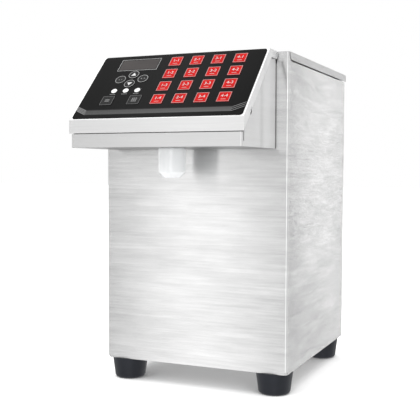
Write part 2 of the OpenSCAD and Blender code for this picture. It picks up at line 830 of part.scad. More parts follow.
// Side view of the cheeks: under the panel sheet, round the pivot, down to the floor.
module cheek_side() {
    under = head_t + 0.3;
    bend_end = band_y + head_bend;
    slit_end = bend_end + slit_w;
    drop = under / cos(slope_a);
    top = body_h - under;
    line_z = slope_z - drop;
    knee_y = -top_flat + under * tan(slope_a / 2);
    polygon([[0, head_z], [0, flange_top], [-head_bend, flange_top], [-head_bend, pivot_z],
             [-pivot_y, pivot_z], [-pivot_y, top], [knee_y, top],
             [slit_end, line_z + (slit_end + head_d) * tan(slope_a)],
             [slit_end, band_top - slit_h], [bend_end, band_top - slit_h],
             [bend_end, band_top], [band_y - 1, band_top], [band_y - 1, head_z]]);
    translate([-pivot_y, pivot_z]) circle(ear_r - under);
}
// Plan of the head's walls: the rear bends turn in to the flanges on the cabinet.
module head_walls() {
    translate([0, band_y / 2]) difference() {
        round_rect(head_w, -band_y, head_bend);
        round_rect(head_w - 2 * head_t, -band_y - 2 * head_t, head_bend - head_t);
        translate([0, -band_y / 2]) square([head_w - 2 * rear_flange, 4 * head_t], center = true);
    }
}
module head_housing() {
    color("gainsboro") place() difference() {
        union() {
            intersection() {
                translate([0, 0, head_z]) linear_extrude(head_h) head_walls();
                along_x(-head_w, head_w) cheek_side();
            }
            translate([0, band_y / 2, head_z]) linear_extrude(head_t)
                round_rect(head_w, -band_y, head_bend);
        }
        // the cheeks are flat inside, above the flanges
        both_sides() block(head_w / 2 - rear_flange, head_w / 2 - head_t, -head_bend, 1,
                           flange_top, body_h);
        rod_x(-head_w, head_w, -pivot_y, pivot_z, pivot_r + run_gap / 2);
        rod_z(head_z - 1, head_z + head_t + 1, -nozzle_left, -nozzle_out, stem_r + 0.2);
        both_sides() on_slope() block(head_w / 2 - 2 * head_t, head_w, stud_v - notch_w / 2,
                                      stud_v + notch_w / 2, -lip_d - notch_out, 1);
    }
}
module pivot_pins() {
    x0 = head_w / 2 - head_t - 5;
    color("silver") place() both_sides() {
        rod_x(x0, panel_w / 2 + 0.3, -pivot_y, pivot_z, pivot_r);
        rod_x(x0, head_w / 2 - head_t, -pivot_y, pivot_z, pivot_r + 1);
    }
}
module nozzle() {
    z0 = head_z - nozzle_len;
    mouth_r = nozzle_r - nozzle_chamfer - 1.5;
    color("white") place() translate([-nozzle_left, -nozzle_out, 0]) rotate_extrude() difference() {
        union() {
            polygon([[0, z0], [nozzle_r - nozzle_chamfer, z0], [nozzle_r, z0 + nozzle_chamfer],
                     [nozzle_r, head_z], [0, head_z]]);
            translate([0, head_z - 1]) square([stem_r, stem_top - head_z + 1]);
            translate([0, stem_top - 1]) square([spigot_r, spigot_len + 1]);
        }
        // annular mouth round the spout
        translate([spout_r + 1.5, z0 - 1]) square([mouth_r - spout_r - 1.5, 13]);
        translate([-1, z0 - 1]) square([spout_r + 1, head_h + nozzle_len]);
    }
}
module nozzle_nut() {
    color("white") place() translate([-nozzle_left, -nozzle_out, head_z + head_t]) difference() {
        cylinder(h = nut_t, r = stem_r + 5, $fn = 6);
        translate([0, 0, -1]) cylinder(h = nut_t + 2, r = stem_r + run_gap);
    }
}

// ---- Key panel ----

// The panel sheet's section: flat, slope and front lip.
module panel_section() {
    t = head_t;
    knee = t * tan(slope_a / 2);
    chin = t * tan((90 - slope_a) / 2);
    polygon([[-pivot_y, body_h], [-top_flat, body_h], [-head_d, slope_z],
             [-head_d, slope_z - lip_h], [t - head_d, slope_z - lip_h],
             [t - head_d, slope_z - chin], [-top_flat + knee, body_h - t],
             [-pivot_y, body_h - t]]);
}
module rolled_edge() {
    intersection() {
        difference() {
            circle(ear_r);
            circle(ear_r - head_t);
        }
        square(2 * ear_r);
    }
}
// The side lip: a band along the sheet's edge that ends in the pivot ear.
module lip_side() {
    flat_z = body_h - 2 * ear_r;
    line = slope_z - lip_h + head_d * tan(slope_a);
    turn_y = (flat_z - line) / tan(slope_a);
    polygon([[-pivot_y, body_h], [-top_flat, body_h], [-head_d, slope_z],
             [-head_d, slope_z - lip_h], [turn_y, flat_z], [-pivot_y, flat_z]]);
    translate([-pivot_y, pivot_z]) circle(ear_r);
}
module panel_cover() {
    inner = head_w / 2 - head_t - 1;
    color("gainsboro") place() difference() {
        union() {
            along_x(-panel_w / 2, panel_w / 2) panel_section();
            translate([0, -pivot_y, pivot_z]) along_x(-inner, inner) rolled_edge();
            both_sides() along_x(panel_w / 2 - head_t, panel_w / 2) lip_side();
        }
        rod_x(-panel_w, panel_w, -pivot_y, pivot_z, pivot_r + run_gap);
        on_slope() translate([0, 0, -2 * head_t]) linear_extrude(3 * head_t) panel_windows();
        // notches in the side lips, over those in the cheeks
        both_sides() on_slope() block(head_w / 2, panel_w, stud_v - notch_w / 2,
                                      stud_v + notch_w / 2, -lip_d - 1, notch_in - lip_d);
    }
}
// Every window that the sheet and the membrane share.
module panel_windows() {
    for (c = COLUMNS) for (r = ROWS) translate(portion_place(c, r))
        square([key_w + 2 * key_gap, key_h + 2 * key_gap], center = true);
    for (p = round_places) translate(p) circle(round_key_r + key_gap);
    for (s = [-1, 1]) translate([pad_x + s * square_dx, key_y])
        square(square_key + 2 * key_gap, center = true);
    for (i = [-1:1]) translate([pad_x + i * lens_pitch, lens_y]) circle(lens_r + 0.1);
    translate([pad_x, window_y]) square([window_w + 0.2, window_h + 0.2], center = true);
}
function portion_place(c, r) = [key_x + (c - 1) * key_pitch_x, key_y + (4 - r) * key_pitch_y];
round_places = [[pad_x, pad_y + pad_dy], [pad_x, pad_y - pad_dy],
                [pad_x - pad_dx, pad_y], [pad_x + pad_dx, pad_y]];

module membrane() {
    h = slope_len - membrane_low - membrane_t - 0.1;
    color("#161616") place() on_slope() linear_extrude(membrane_t) difference() {
        translate([0, membrane_low + h / 2]) round_rect(membrane_w, h, 4);
        panel_windows();
    }
}
// A key: its cap stands in the window, its flange holds it behind the sheet.
module key_body() {
    translate([0, 0, key_back]) linear_extrude(membrane_t + key_proud - key_back) children(0);
    translate([0, 0, key_back]) linear_extrude(plate_back - key_back - 0.05) children(1);
}
module portion_key(c, r) {
    color("#e01010") place() on_slope() translate(portion_place(c, r)) key_body() {
        square([key_w, key_h], center = true);
        square([key_w + 2 * key_flange, key_h + 2 * key_flange], center = true);
    }
}
module round_key(i) {
    color("#2a2a2a") place() on_slope() translate(round_places[i]) key_body() {
        circle(round_key_r);
        circle(round_key_r + key_flange);
    }
}
module square_key_at(s) {
    color("#2a2a2a") place() on_slope() translate([pad_x + s * square_dx, key_y]) key_body() {
        square(square_key, center = true);
        square(square_key + 2 * key_flange, center = true);
    }
}
module display_window() {
    color("#3a3230") place() on_slope() translate([pad_x, window_y, plate_back])
        linear_extrude(membrane_t - plate_back + 0.1) square([window_w, window_h], center = true);
}
module display_module() {
    color("#202a24") place() on_slope() translate([pad_x, window_y, 0]) {
        translate([0, 0, board_z]) linear_extrude(board_gap)
            square([window_w - 2, window_h - 3], center = true);
    }
}
module control_board() {
    color("#1f5a3a") place() on_slope() difference() {
        translate([0, (board_low + board_high) / 2, board_z - board_t]) linear_extrude(board_t)
            square([board_w, board_high - board_low], center = true);
        standoff_places() translate([0, 0, board_z - board_t - 1]) cylinder(h = board_t + 2, r = 1.6);
    }
}
module indicators() {
    color("white") place() on_slope() for (i = [-1:1])
        translate([pad_x + i * lens_pitch, lens_y, board_z])
            cylinder(h = membrane_t + 0.3 - board_z, r = lens_r);
}
module one_switch() {
    top = key_back - key_travel - 0.1;
    translate([-3, -3, board_z]) cube([6, 6, 3.5]);
    translate([0, 0, board_z + 3]) cylinder(h = top - board_z - 3, r = 1.75);
}
module key_switches() {
    color("#33363a") place() on_slope() {
        for (c = COLUMNS) for (r = ROWS) translate(portion_place(c, r)) one_switch();
        for (p = round_places) translate(p) one_switch();
        for (s = [-1, 1]) translate([pad_x + s * square_dx, key_y]) one_switch();
    }
}
module standoff_places() {
    for (x = [-1, 1]) for (y = [board_low + 4, board_high - 4])
        translate([x * (board_w / 2 - 5), y, 0]) children();
    translate([(pad_x + key_x) / 2 + 11.5, board_low + 4, 0]) children();
}
module board_standoffs() {
    color("#c9b26a") place() on_slope() standoff_places() {
        translate([0, 0, board_z]) cylinder(h = board_gap, r = 3);
        translate([0, 0, board_z - board_t - 1.6]) cylinder(h = board_t + 2, r = 1.5);
        translate([0, 0, board_z - board_t - 1.8]) cylinder(h = 1.8, r = 2.8);
    }
}
module locating_studs() {
    x0 = head_w / 2 - 4;
    color("silver") place() both_sides() on_slope() translate([x0, stud_v, stud_r - stud_in])
        rotate([0, 90, 0]) cylinder(h = panel_w / 2 - head_t - x0, r = stud_r);
}

cabinet_shell();
base_plate();
rear_panel();
top_deck();
tank();
tank_heater();
thermostat();
suction_hose();
pump_body();
pump_cover();
motor();
motor_bracket();
delivery_hose();
power_supply();
inlet_socket();
switch_housing();
feet();
pan_screws();
hinge_leaf();
hinge_pin();
head_housing();
pivot_pins();
nozzle();
nozzle_nut();
drive_gear();
driven_gear();
rocker();
lid();
lid_gasket();
panel_cover();
membrane();
display_window();
display_module();
control_board();
indicators();
key_switches();
board_standoffs();
locating_studs();
round_key(0);  // key_up
round_key(1);  // key_down
round_key(2);  // key_back
round_key(3);  // key_next
square_key_at(-1);  // key_clean
square_key_at(1);  // key_menu
for (c = COLUMNS) for (r = ROWS)
    portion_key(c, r);
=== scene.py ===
import json
import math

import bmesh
import bpy
from mathutils import Matrix, Vector


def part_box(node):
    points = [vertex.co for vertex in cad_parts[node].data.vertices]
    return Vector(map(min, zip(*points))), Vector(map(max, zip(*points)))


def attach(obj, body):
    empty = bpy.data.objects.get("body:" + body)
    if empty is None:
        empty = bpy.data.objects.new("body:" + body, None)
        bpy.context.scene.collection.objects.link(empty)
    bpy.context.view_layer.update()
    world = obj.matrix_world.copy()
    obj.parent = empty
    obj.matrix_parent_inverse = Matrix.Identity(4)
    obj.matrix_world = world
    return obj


MM = 0.001

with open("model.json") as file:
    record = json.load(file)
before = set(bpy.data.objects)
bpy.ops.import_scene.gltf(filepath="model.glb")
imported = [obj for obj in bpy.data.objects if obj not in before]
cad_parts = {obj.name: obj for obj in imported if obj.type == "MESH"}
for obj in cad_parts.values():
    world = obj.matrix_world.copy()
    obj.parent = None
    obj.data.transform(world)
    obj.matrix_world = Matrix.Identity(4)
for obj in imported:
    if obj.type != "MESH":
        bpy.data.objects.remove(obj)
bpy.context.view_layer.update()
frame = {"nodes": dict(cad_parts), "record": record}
nodes = frame["nodes"]

# ---------------------------------------------------------------- places

LIP_H = 17 * MM              # height of the panel's front lip
SLOPE_ANGLE = math.radians(45)
shell_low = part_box("cabinet_shell")[0]
cover_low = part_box("panel_cover")[0]
FRONT_Y = shell_low[1]
BASE_Z = shell_low[2]
# The panel's own frame: x across, y up the slope from its front edge, z outwards.
SLOPE = (Matrix.Translation((0, cover_low[1], cover_low[2] + LIP_H))
         @ Matrix.Rotation(SLOPE_ANGLE, 4, "X"))


def slope_box(node):
    """Lowest and highest corner of a CAD node, measured in the panel's own frame."""
    to_slope = SLOPE.inverted()
    points = [to_slope @ v.co for v in nodes[node].data.vertices]
    low = Vector(min(p[i] for p in points) for i in range(3))
    high = Vector(max(p[i] for p in points) for i in range(3))
    return low, high


# ---------------------------------------------------------------- camera

IMAGE_PX = 420.0             # the picture's side
FOCAL_PX = 809.74
SENSOR_MM = 36.0
CLIP_START = 0.05
CAMERA_X = 459.8 * MM        # right of the cabinet's middle
CAMERA_OUT = 1001.5 * MM     # in front of the cabinet's front face
CAMERA_UP = 270.3 * MM       # above the cabinet's underside
YAW = 0.4099                 # radians to the left
PITCH = 0.0505               # radians down
ROLL = 0.003                 # radians, right side up


def make_camera():
    data = bpy.data.cameras.new("camera")
    data.sensor_width = SENSOR_MM
    data.lens = FOCAL_PX / IMAGE_PX * SENSOR_MM
    data.clip_start = CLIP_START
    camera = bpy.data.objects.new("camera", data)
    bpy.context.scene.collection.objects.link(camera)
    forward = Vector((-math.sin(YAW) * math.cos(PITCH), math.cos(YAW) * math.cos(PITCH),
                      -math.sin(PITCH)))
    level = Vector((math.cos(YAW), math.sin(YAW), 0))
    up = level.cross(forward)
    right = level * math.cos(ROLL) + up * math.sin(ROLL)
    up = up * math.cos(ROLL) - level * math.sin(ROLL)
    turn = Matrix((right, up, -forward)).transposed().to_4x4()
    place = Vector((CAMERA_X, FRONT_Y - CAMERA_OUT, BASE_Z + CAMERA_UP))
    camera.matrix_world = Matrix.Translation(place) @ turn
    bpy.context.scene.camera = camera


make_camera()

# ---------------------------------------------------------------- node helpers

# Socket numbers of the Mix node, by the kind of data: factor, A, B and the result.
MIX_SOCKETS = {"FLOAT": (0, 2, 3, 0), "VECTOR": (0, 4, 5, 1), "RGBA": (0, 6, 7, 2)}
# Most values of a noise texture lie between these two.
NOISE_LOW, NOISE_HIGH = 0.3, 0.7
# How open a crevice is, from full painted shade to none.
CREVICE_SHADE_FULL, CREVICE_SHADE_NONE = 0.15, 0.85
# How far the rounded and the true normal agree, on an edge and on a flat.
EDGE_AGREES, FLAT_AGREES = 0.8, 0.995


def grey(level):
    return (level, level, level)


def rgba(color):
    return (*color, 1)


class Nodes:
    """A node tree under construction, with short calls for the nodes it needs."""

    def __init__(self, tree):
        self.tree = tree

    def add(self, kind, **settings):
        node = self.tree.nodes.new(kind)
        for key, value in settings.items():
            setattr(node, key, value)
        return node

    def feed(self, socket, value):
        """Links a socket to another node's output, or sets it to a constant."""
        if isinstance(value, bpy.types.NodeSocket):
            self.tree.links.new(value, socket)
        else:
            socket.default_value = value

    def math(self, operation, *values):
        node = self.add("ShaderNodeMath", operation=operation)
        for socket, value in zip(node.inputs, values):
            self.feed(socket, value)
        return node.outputs["Value"]

    def weighted(self, *terms):
        """Sum of (value, weight) pairs."""
        total = 0.0
        for value, weight in terms:
            total = self.math("MULTIPLY_ADD", value, weight, total)
        return total

    def remap(self, value, low, high, from_low=NOISE_LOW, from_high=NOISE_HIGH):
        """From low to high, as the value goes from from_low to from_high."""
        node = self.add("ShaderNodeMapRange")
        node.inputs["From Min"].default_value = from_low
        node.inputs["From Max"].default_value = from_high
        node.inputs["To Min"].default_value = low
        node.inputs["To Max"].default_value = high
        self.feed(node.inputs["Value"], value)
        return node.outputs["Result"]

    def ramp(self, value, *stops):
        """Colour by value, in straight lines between (place, colour) stops."""
        node = self.add("ShaderNodeValToRGB")
        elements = node.color_ramp.elements
        while len(elements) < len(stops):
            elements.new(1.0)
        for element, (place, color) in zip(elements, stops):
            element.position = place
            element.color = rgba(color)
        self.feed(node.inputs["Fac"], value)
        return node.outputs["Color"]

    def blend(self, kind, factor, a, b, **settings):
        node = self.add("ShaderNodeMix", data_type=kind, **settings)
        factor_in, a_in, b_in, result = MIX_SOCKETS[kind]
        for socket, value in ((factor_in, factor), (a_in, a), (b_in, b)):
            self.feed(node.inputs[socket], value)
        return node.outputs[result]

    def split(self, vector):
        """The X, Y and Z of a vector."""
        node = self.add("ShaderNodeSeparateXYZ")
        self.feed(node.inputs["Vector"], vector)
        return node.outputs["X"], node.outputs["Y"], node.outputs["Z"]

    def openness(self, distance, samples):
        """1 in the open, and less where something stands within that distance."""
        node = self.add("ShaderNodeAmbientOcclusion", samples=samples)
        node.inputs["Distance"].default_value = distance
        return node.outputs["AO"]


class Material(Nodes):
    """A material with one Principled shader."""

    def __init__(self, name):
        self.material = bpy.data.materials.new(name)
        self.material.use_nodes = True
        super().__init__(self.material.node_tree)
        self.bsdf = self.tree.nodes["Principled BSDF"]
        self.coords = self.add("ShaderNodeTexCoord").outputs["Object"]

    def set(self, **values):
        """Inputs of the shader, with underscores for the spaces in their names."""
        for key, value in values.items():
            self.feed(self.bsdf.inputs[key.replace("_", " ")], value)

    def stretched(self, scale):
        node = self.add("ShaderNodeMapping")
        node.inputs["Scale"].default_value = scale
        self.feed(node.inputs["Vector"], self.coords)
        return node.outputs["Vector"]

    def noise(self, vector, scale=1.0, detail=3.0, roughness=0.5):
        node = self.add("ShaderNodeTexNoise")
        node.inputs["Scale"].default_value = scale
        node.inputs["Detail"].default_value = detail
        node.inputs["Roughness"].default_value = roughness
        self.feed(node.inputs["Vector"], vector)
        return node.outputs["Fac"]

    def mottled(self, cloud, low, high):
        """Colour that drifts between two tones with a noise."""
        return self.ramp(self.remap(cloud, 0.0, 1.0), (0.0, low), (1.0, high))

    def painted_crevice_shade(self, distance, low):
        """Painted shade: a level that falls from 1 to low where ambient occlusion finds seams and
        inner corners.
        """
        return self.remap(self.openness(distance, 6), low, 1.0, CREVICE_SHADE_FULL, CREVICE_SHADE_NONE)

    def shaded(self, color, level):
        return self.blend("RGBA", 1.0, color, level, blend_type="MULTIPLY")

    def rounded_normal(self, radius, samples):
        node = self.add("ShaderNodeBevel", samples=samples)
        node.inputs["Radius"].default_value = radius
        return node.outputs["Normal"]

    def bump(self, height, distance, strength, edge=0.0):
        node = self.add("ShaderNodeBump")
        node.inputs["Strength"].default_value = strength
        node.inputs["Distance"].default_value = distance
        self.feed(node.inputs["Height"], height)
        if edge:
            self.feed(node.inputs["Normal"], self.rounded_normal(edge, 6))
        self.set(Normal=node.outputs["Normal"])

    def edge_wear(self, radius):
        """1 on edges and 0 on flats."""
        true = self.add("ShaderNodeNewGeometry").outputs["Normal"]
        dot = self.add("ShaderNodeVectorMath", operation="DOT_PRODUCT")
        self.feed(dot.inputs[0], self.rounded_normal(radius, 4))
        self.feed(dot.inputs[1], true)
        return self.remap(dot.outputs["Value"], 1.0, 0.0, EDGE_AGREES, FLAT_AGREES)


# ---------------------------------------------------------------- materials

# Brushing of the steel, in noise cells per metre across and along the scratches.
SCRATCHES = (2400, 12)
STREAKS = (330, 9)
BROAD_STREAKS = (70, 13)
PATCHES = (9, 9, 15)         # cells per metre in x, y and z
SCRATCH_DEPTH = 0.04 * MM
# Normals' rise at which the brushing turns from level to front and back.
UPRIGHT_TO, FLAT_FROM = 0.6, 0.8
# Normals' rise at which the painted shade on a sheet's underside is complete, and at which it
# begins.
UNDER_SHADE_FULL, UNDER_SHADE_FROM = -0.9, -0.6
SHEET_EDGE_R = 0.9 * MM      # the sheets' edges look rounded by this much
MOULDED_EDGE_R = 1.2 * MM    # and moulded edges are rubbed within this much


def brushed(s, flat, cells, **noise):
    """Streaks that lie level on upright faces, and front to back on flat ones."""
    across, along = cells
    upright = s.noise(s.stretched((along, along, across)), **noise)
    lying = s.noise(s.stretched((across, along, along)), **noise)
    return s.blend("FLOAT", flat, upright, lying)


def steel(name, dark, light, rough, grain=1.0, blotch=1.0, aniso=0.0, glance=0.8,
          crevice_darkening=(6 * MM, 0.6), painted_underside_grey=None):
    """Brushed sheet steel. The crevice setting is how far painted shade reaches out of a crevice,
    and its level there.
    """
    s = Material(name)
    _, _, up = s.split(s.add("ShaderNodeNewGeometry").outputs["Normal"])
    flat = s.remap(s.math("ABSOLUTE", up), 0.0, 1.0, UPRIGHT_TO, FLAT_FROM)
    fine = brushed(s, flat, SCRATCHES, detail=2)
    streak = brushed(s, flat, STREAKS, detail=4, roughness=0.7)
    broad = brushed(s, flat, BROAD_STREAKS, detail=3, roughness=0.6)
    patches = s.noise(s.stretched(PATCHES), detail=2, roughness=0.5)
    tone = s.weighted((fine, 0.15), (streak, 0.45), (broad, 0.4 * blotch), (patches, 0.3 * blotch))
    # A noise averages one half, so the sum lies about half its weights.
    middle = 0.5 * (0.6 + 0.7 * blotch)
    spread = 0.2 * (0.6 + 0.5 * blotch)
    base = s.ramp(s.remap(tone, 0.0, 1.0, middle - spread, middle + spread),
                  (0.0, grey(dark)), (1.0, grey(light)))
    if painted_underside_grey is not None:
        # Painted shade: downward faces turn to a darker grey, standing in for the shadow under the
        # sheet.
        below_shade = s.remap(up, 1.0, 0.0, UNDER_SHADE_FULL, UNDER_SHADE_FROM)
        base = s.blend("RGBA", below_shade, base, rgba(grey(painted_underside_grey)))
    # Painted shade: the base colour darkens by ambient occlusion in seams, inner corners and where
    # parts meet.
    s.set(Base_Color=s.shaded(base, s.painted_crevice_shade(*crevice_darkening)),
          Roughness=s.remap(s.weighted((streak, 0.6), (fine, 0.4)), rough - 0.04, rough + 0.05),
          Metallic=0.9, Specular_Tint=rgba(grey(glance)))
    if aniso:
        # The scratches spread a reflection across their own direction.
        across = s.blend("VECTOR", flat, (0, 0, 1), (1, 0, 0))
        s.set(Tangent=across, Anisotropic=aniso)
    s.bump(s.weighted((fine, 1.0), (streak, 0.6)), SCRATCH_DEPTH * grain, 0.5, SHEET_EDGE_R)
    return s.material


def plastic(name, color, rough, mottle=0.06, grain=900, spec=0.5, coat=0.0, wear=None):
    """Moulded plastic or rubber with a fine texture, slight mottling and rubbed edges."""
    s = Material(name)
    cloud = s.noise(s.coords, scale=38, detail=4)
    fine = s.noise(s.coords, scale=grain, detail=2)
    low = tuple(c * (1 - mottle) for c in color)
    high = tuple(min(1.0, c * (1 + mottle)) for c in color)
    base = s.mottled(cloud, low, high)
    if wear:
        worn = s.math("MULTIPLY", s.edge_wear(MOULDED_EDGE_R), s.remap(cloud, 0.1, 0.8))
        base = s.blend("RGBA", worn, base, rgba(wear))
    s.set(Base_Color=base,
          Roughness=s.remap(s.weighted((cloud, 0.5), (fine, 0.5)), max(0.02, rough - 0.06),
                            rough + 0.08),
          Specular_IOR_Level=spec, Coat_Weight=coat, Coat_Roughness=0.08)
    s.bump(fine, 0.03 * MM, 0.35)
    return s.material


def metal(name, color, rough, turned=0.0, grain=700):
    """Bare metal parts: cast, turned or plated."""
    s = Material(name)
    cloud = s.noise(s.coords, scale=60, detail=4)
    fine = s.noise(s.stretched((1, 1, 1 + turned)), scale=grain, detail=3)
    low = tuple(c * 0.82 for c in color)
    s.set(Base_Color=s.mottled(cloud, low, color), Metallic=1.0,
          Roughness=s.remap(fine, max(0.05, rough - 0.08), rough + 0.1))
    s.bump(fine, 0.03 * MM, 0.4)
    return s.material


def milky_plastic(name, color, rough, depth, painted_glow):
    """White plastic that light soaks through, and that glows a little though it is no lamp:
    painted light that keeps its shaded side bright.
    """
    s = Material(name)
    cloud = s.noise(s.coords, scale=60, detail=3)
    fine = s.noise(s.coords, scale=900, detail=2)
    low = tuple(c * 0.97 for c in color)
    # Painted light: the emission makes the plastic glow though it is no lamp.
    s.set(Base_Color=s.mottled(cloud, low, color),
          Roughness=s.remap(fine, rough - 0.04, rough + 0.06),
          Subsurface_Weight=0.7, Subsurface_Radius=(1, 1, 1), Subsurface_Scale=depth,
          Emission_Color=rgba(color), Emission_Strength=painted_glow,
          Specular_IOR_Level=0.6, Coat_Weight=1.0, Coat_Roughness=0.04)
    s.bump(fine, 0.02 * MM, 0.3)
    return s.material


def membrane_film():
    """Black satin film, a little greyer towards its middle, with a fine leather-like texture."""
    s = Material("membrane_film")
    fine = s.noise(s.coords, scale=1500, detail=2)
    cloud = s.noise(s.coords, scale=9, detail=2)
    x, _, _ = s.split(s.coords)
    off_middle = s.math("ABSOLUTE", s.math("SUBTRACT", x, 20 * MM))
    middle = s.remap(off_middle, 1.0, 0.0, 20 * MM, 120 * MM)
    tone = s.weighted((middle, 0.7), (cloud, 0.3))
    s.set(Base_Color=s.ramp(tone, (0.0, grey(0.001)), (0.85, grey(0.009))),
          Roughness=s.remap(fine, 0.3, 0.42), Specular_IOR_Level=0.03)
    s.bump(fine, 0.02 * MM, 0.3)
    return s.material


BAND_LOW, BAND_HIGH = 9 * MM, 17 * MM        # the printed band, up the slope
HATCH_PITCH = 2.6 * MM
HATCH_SLANT = -1.2


def band_print():
    """Grey printed band: slanted hatching that thins out to the right, darker at its top."""
    s = Material("stripe_print")
    x, _, z = s.split(s.coords)
    slant = s.math("ADD", x, s.math("MULTIPLY", z, HATCH_SLANT))
    wave = s.math("SINE", s.math("MULTIPLY", slant, 2 * math.pi / HATCH_PITCH))
    gap = s.math("SUBTRACT", 1.0, s.remap(wave, 0.0, 1.0, -0.2, 0.5))
    fade = s.remap(x, 1.0, 0.15, -110 * MM, 60 * MM)
    hatched = s.math("SUBTRACT", 1.0, s.math("MULTIPLY", gap, fade))
    speck = s.noise(s.coords, scale=2500, detail=1)
    level = s.math("MULTIPLY", hatched, s.remap(speck, 0.92, 1.0))
    low, high = ((SLOPE @ Vector((0, y, 0))).z for y in (BAND_LOW, BAND_HIGH))
    level = s.math("MULTIPLY", level, s.remap(z, 1.0, 0.6, low, high))
    s.set(Base_Color=s.ramp(level, (0.0, grey(0.035)), (1.0, grey(0.13))),
          Roughness=s.remap(speck, 0.35, 0.5), Specular_IOR_Level=0.06)
    return s.material


def key_film():
    """Red film over a key, brighter in patches, faintly orange-peeled."""
    s = Material("key_film")
    cloud = s.noise(s.coords, scale=140, detail=3)
    peel = s.noise(s.coords, scale=900, detail=1)
    s.set(Base_Color=s.mottled(cloud, (0.48, 0.002, 0.002), (0.72, 0.006, 0.004)),
          Roughness=s.remap(peel, 0.25, 0.38), Specular_IOR_Level=0.05)
    s.bump(peel, 0.02 * MM, 0.3)
    return s.material


def glass_window():
    """Dark tinted window over the display, with faint upright smears."""
    s = Material("glass_window")
    smear = s.noise(s.stretched((30, 30, 90)), detail=3)
    s.set(Base_Color=s.mottled(smear, (0.026, 0.020, 0.019), (0.036, 0.029, 0.027)),
          Roughness=s.remap(smear, 0.08, 0.2), Specular_IOR_Level=0.12)
    return s.material


def ink(name, color, mottle=0.05, spec=0.1):
    return plastic(name, color, 0.4, mottle=mottle, spec=spec)


MATERIALS = {
    "brushed_steel": steel("cabinet_steel", 0.50, 0.74, 0.21, grain=1.4, aniso=1.0, glance=0.7),
    "lid_steel": steel("lid_steel", 0.50, 0.64, 0.30, blotch=0.6, aniso=0.8, glance=0.7),
    "satin_steel": steel("head_steel", 0.56, 0.64, 0.32, grain=0.5, blotch=0.4, aniso=0.4,
                         crevice_darkening=(4 * MM, 0.6), painted_underside_grey=0.26),
    # Painted light: a lighter copy of the head's satin steel, for the folded cover.
    "cover_steel_painted_lighter": steel("cover_steel_painted_lighter", 0.64, 0.73, 0.32, grain=0.5, blotch=0.4, aniso=0.4,
                         crevice_darkening=(3 * MM, 0.75)),
    "plain_steel": steel("plain_steel", 0.50, 0.66, 0.38, grain=0.6),
    "tank_steel": steel("tank_steel", 0.62, 0.76, 0.25, grain=0.4, blotch=0.6),
    "pin_steel": metal("pin_steel", (0.55, 0.56, 0.57), 0.25, turned=6),
    "thermostat_metal": metal("thermostat_metal", (0.62, 0.62, 0.61), 0.35),
    "cast_pump": metal("cast_pump", (0.55, 0.56, 0.58), 0.42, grain=1400),
    "gear_steel": metal("gear_steel", (0.45, 0.46, 0.47), 0.28),
    "supply_case": metal("supply_case", (0.5, 0.51, 0.53), 0.4),
    "standoff_brass": metal("standoff_brass", (0.62, 0.46, 0.18), 0.3),
    "heater_silicone": plastic("heater_silicone", (0.55, 0.13, 0.05), 0.6),
    "hose_silicone": plastic("hose_silicone", (0.72, 0.75, 0.76), 0.25, grain=400),
    "motor_enamel": plastic("motor_enamel", (0.03, 0.032, 0.036), 0.35),
    "black_plastic": plastic("black_plastic", (0.018, 0.018, 0.02), 0.45, wear=grey(0.05)),
    "foot_rubber": plastic("foot_rubber", (0.014, 0.016, 0.022), 0.5, mottle=0.2, grain=1600,
                           spec=0.25, wear=(0.030, 0.033, 0.042)),
    "white_plastic": milky_plastic("white_plastic", (0.92, 0.945, 0.96), 0.12, 10 * MM, 0.10),
    "gasket_silicone": plastic("gasket_silicone", (0.68, 0.66, 0.58), 0.55),
    "membrane_black": membrane_film(),
    "display_glass": glass_window(),
    "display_black": plastic("display_black", grey(0.02), 0.5),
    "board_green": plastic("board_green", (0.012, 0.09, 0.045), 0.35),
    "lens_white": plastic("lens_white", (0.88, 0.88, 0.87), 0.2, mottle=0.01, coat=0.3),
    "switch_black": plastic("switch_black", grey(0.025), 0.45),
    "key_red": key_film(),
    "key_dark": plastic("key_dark", grey(0.008), 0.38, grain=1500, spec=0.08),
}
INK_WHITE = ink("print_white", grey(0.75), mottle=0.03)
INK_PINK = ink("print_pink", (0.60, 0.34, 0.33))
INK_PALE = ink("print_pale", grey(0.42))
INK_GREY = ink("print_grey", grey(0.24))
INK_DIM = ink("print_dim", grey(0.15))
INK_BLACK = ink("print_black", grey(0.006), mottle=0.1, spec=0.08)
INK_BAND = band_print()

for row in frame["record"]["subparts"]:
    part = nodes[row["node"]]
    part.data.materials.clear()
    part.data.materials.append(MATERIALS[row["material_slot"]])

# Painted light: the folded cover gets a lighter copy of the housing's satin steel, so that it
# reads brighter than the housing under it.
nodes["panel_cover"].data.materials[0] = MATERIALS["cover_steel_painted_lighter"]

# ---------------------------------------------------------------- outlines

ROUND_STEPS = 64             # points on a circle
CORNER_STEPS = 6             # steps on a rounded corner


def circle(radius, center):
    angles = [2 * math.pi * i / ROUND_STEPS for i in range(ROUND_STEPS)]
    return [(center[0] + radius * math.cos(a), center[1] + radius * math.sin(a)) for a in angles]


def rounded(width, height, radius, center):
    """Outline of a rectangle with round corners, anticlockwise."""
    points = []
    for quarter, (sx, sy) in enumerate(((1, 1), (-1, 1), (-1, -1), (1, -1))):
        cx = center[0] + sx * (width / 2 - radius)
        cy = center[1] + sy * (height / 2 - radius)
        for i in range(CORNER_STEPS + 1):
            angle = math.pi / 2 * (quarter + i / CORNER_STEPS)
            points.append((cx + radius * math.cos(angle), cy + radius * math.sin(angle)))
    return points


def middle_of(low, high):
    return ((low.x + high.x) / 2, (low.y + high.y) / 2)


def moved(center, x=0.0, y=0.0):
    return (center[0] + x, center[1] + y)


# ---------------------------------------------------------------- printing

PRINT_LIFT = 0.01 * MM       # the print stands this far off its film
PRINT_T = 0.05 * MM          # and is this thick
WELD = 0.0001 * MM
LETTER_STEPS = 3             # points on each curve of a letter


